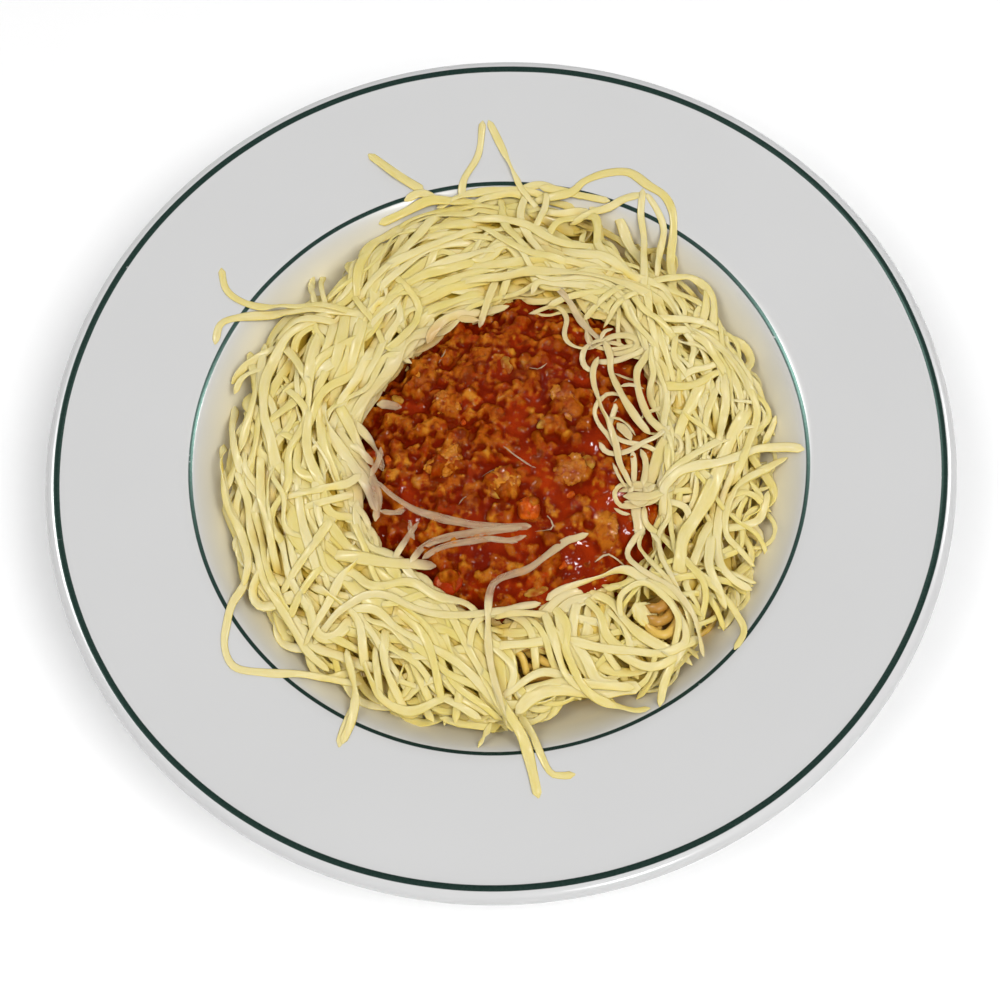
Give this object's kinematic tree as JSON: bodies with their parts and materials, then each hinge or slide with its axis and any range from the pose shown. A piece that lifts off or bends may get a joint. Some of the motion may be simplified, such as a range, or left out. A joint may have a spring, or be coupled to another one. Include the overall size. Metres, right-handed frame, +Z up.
{
  "type": "spaghetti bolognese on a plate",
  "caption": "Plated spaghetti bolognese: a wide-rimmed white pasta plate whose well holds a spaghetti heap, a mound of minced meat sauce and a ring of shredded cheese.",
  "frame": {"origin": "middle of the foot ring's lower face, on the surface that the plate stands on", "axes": "+Z up along the plate's axis; -Y is the near side of the dish and +Y its far side"},
  "size_m": [0.3, 0.3, 0.0533],
  "materials": {
    "porcelain": "gloss white glaze with two dark green bands",
    "spaghetti": "moist, semi-matte",
    "sauce": "wet, oily gloss",
    "cheese": "soft, waxy",
    "mince": "moist",
    "carrot": "wet",
    "tomato": "wet"
  },
  "bodies": {
    "root": {"plate": "porcelain", "spaghetti": "spaghetti", "bolognese_sauce": "sauce", "shredded_cheese": "cheese", "mince_lump_1": "mince", "mince_lump_2": "mince", "mince_lump_3": "mince", "mince_lump_4": "mince", "mince_lump_5": "mince", "mince_lump_6": "mince", "mince_lump_7": "mince", "carrot_piece": "carrot", "tomato_piece": "tomato"}
  },
  "joints": []
}
